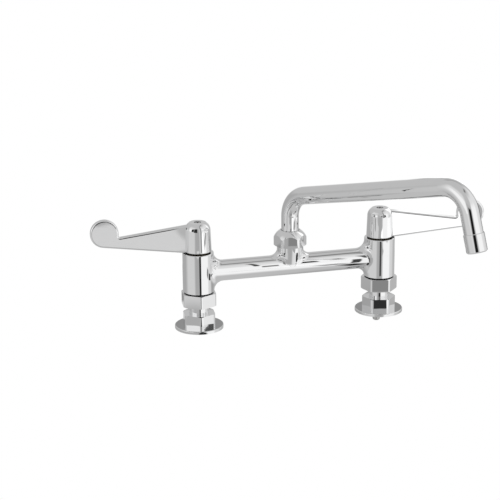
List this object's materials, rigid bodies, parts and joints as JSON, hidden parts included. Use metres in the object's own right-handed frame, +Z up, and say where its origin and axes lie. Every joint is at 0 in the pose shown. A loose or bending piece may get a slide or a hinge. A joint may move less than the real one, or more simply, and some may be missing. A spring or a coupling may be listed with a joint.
{
  "type": "bridge faucet",
  "caption": "Deck-mounted bridge faucet with a swing spout, wrist-blade handles and unions down to round inlet flanges.",
  "frame": {"origin": "on the deck plane, midway between the two inlets", "axes": "+X along the bridge to the right-hand valve as the user sees it, -Y towards the user, +Z up"},
  "size_m": [0.428, 0.2587, 0.2018],
  "materials": {
    "polished_chrome": "polished chrome plate on brass",
    "plain_brass": "machined, unplated",
    "stainless_steel": "machined stainless steel",
    "seal_rubber": "matt black",
    "valve_ceramic": "lapped white ceramic",
    "washer_plastic": "moulded, off-white"
  },
  "bodies": {
    "base": {"cartridge_body_left": "plain_brass", "cartridge_body_right": "plain_brass", "cartridge_gasket_left": "seal_rubber", "cartridge_gasket_right": "seal_rubber", "coupling_nut_left": "polished_chrome", "coupling_nut_right": "polished_chrome", "faucet_body": "polished_chrome", "fixed_disc_left": "valve_ceramic", "fixed_disc_right": "valve_ceramic", "inlet_flange_left": "polished_chrome", "inlet_flange_right": "polished_chrome", "locating_pin": "stainless_steel", "seat_seal_left": "seal_rubber", "seat_seal_right": "seal_rubber", "swivel_nut": "polished_chrome", "thrust_washer": "washer_plastic", "union_tailpiece_left": "polished_chrome", "union_tailpiece_right": "polished_chrome", "union_washer_left": "seal_rubber", "union_washer_right": "seal_rubber"},
    "handle_left": {"handle_left": "polished_chrome", "handle_screw_left": "stainless_steel", "stem_left": "plain_brass", "stem_ring_left": "seal_rubber", "moving_disc_left": "valve_ceramic"},
    "handle_right": {"handle_right": "polished_chrome", "handle_screw_right": "stainless_steel", "stem_right": "plain_brass", "stem_ring_right": "seal_rubber", "moving_disc_right": "valve_ceramic"},
    "spout": {"spout_tube": "polished_chrome", "swivel_sleeve": "plain_brass", "swivel_ring_lower": "seal_rubber", "swivel_ring_upper": "seal_rubber", "outlet_collar": "polished_chrome", "flow_straightener": "washer_plastic", "outlet_washer": "seal_rubber"}
  },
  "joints": [
    {"name": "spout_swing", "type": "hinge", "parent": "base", "child": "spout", "pos_m": [0, 0, 0.09], "axis": [0, 0, 1], "continuous": true},
    {"name": "handle_left_turn", "type": "hinge", "parent": "base", "child": "handle_left", "pos_m": [-0.1016, 0, 0.09], "axis": [0, 0, 1], "range_deg": [0, 90]},
    {"name": "handle_right_turn", "type": "hinge", "parent": "base", "child": "handle_right", "pos_m": [0.1016, 0, 0.09], "axis": [0, 0, 1], "range_deg": [-90, 0]}
  ]
}
